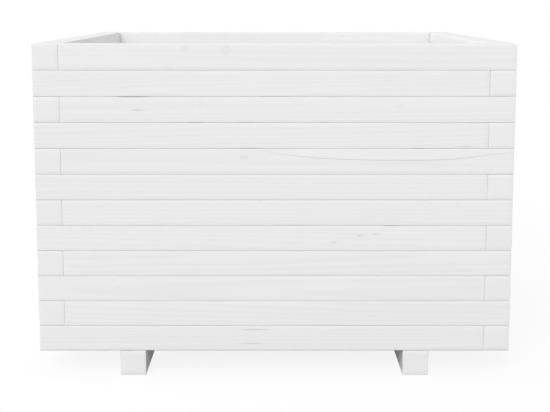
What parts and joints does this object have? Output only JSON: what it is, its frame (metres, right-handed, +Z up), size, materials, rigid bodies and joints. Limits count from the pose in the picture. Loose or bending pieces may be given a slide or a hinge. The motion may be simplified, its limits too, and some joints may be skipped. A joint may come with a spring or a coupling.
{
  "type": "raised garden bed",
  "caption": "Square raised garden bed of stacked white-painted pine battens with interlocking pinwheel corners, on two runners, with a slatted draining floor.",
  "frame": {"origin": "middle of the footprint on the ground, at the underside of the runners", "axes": "+Z up, front wall towards -Y, +X to the right seen from the front; the runners lie along Y"},
  "size_m": [0.7, 0.7, 0.494],
  "materials": {
    "painted_pine": "white paint, satin, with faint grain and knots showing through",
    "zinc_steel": "zinc plated"
  },
  "bodies": {
    "root": {"front_batten_01": "painted_pine", "right_batten_01": "painted_pine", "back_batten_01": "painted_pine", "left_batten_01": "painted_pine", "front_batten_02": "painted_pine", "right_batten_02": "painted_pine", "back_batten_02": "painted_pine", "left_batten_02": "painted_pine", "front_batten_03": "painted_pine", "right_batten_03": "painted_pine", "back_batten_03": "painted_pine", "left_batten_03": "painted_pine", "front_batten_04": "painted_pine", "right_batten_04": "painted_pine", "back_batten_04": "painted_pine", "left_batten_04": "painted_pine", "front_batten_05": "painted_pine", "right_batten_05": "painted_pine", "back_batten_05": "painted_pine", "left_batten_05": "painted_pine", "front_batten_06": "painted_pine", "right_batten_06": "painted_pine", "back_batten_06": "painted_pine", "left_batten_06": "painted_pine", "front_batten_07": "painted_pine", "right_batten_07": "painted_pine", "back_batten_07": "painted_pine", "left_batten_07": "painted_pine", "front_batten_08": "painted_pine", "right_batten_08": "painted_pine", "back_batten_08": "painted_pine", "left_batten_08": "painted_pine", "front_batten_09": "painted_pine", "right_batten_09": "painted_pine", "back_batten_09": "painted_pine", "left_batten_09": "painted_pine", "front_batten_10": "painted_pine", "right_batten_10": "painted_pine", "back_batten_10": "painted_pine", "left_batten_10": "painted_pine", "front_batten_11": "painted_pine", "right_batten_11": "painted_pine", "back_batten_11": "painted_pine", "left_batten_11": "painted_pine", "front_batten_12": "painted_pine", "right_batten_12": "painted_pine", "back_batten_12": "painted_pine", "left_batten_12": "painted_pine", "left_runner": "painted_pine", "right_runner": "painted_pine", "floor_board_1": "painted_pine", "floor_board_2": "painted_pine", "floor_board_3": "painted_pine", "floor_board_4": "painted_pine", "floor_board_5": "painted_pine", "corner_screws": "zinc_steel", "runner_screws": "zinc_steel"}
  },
  "joints": []
}
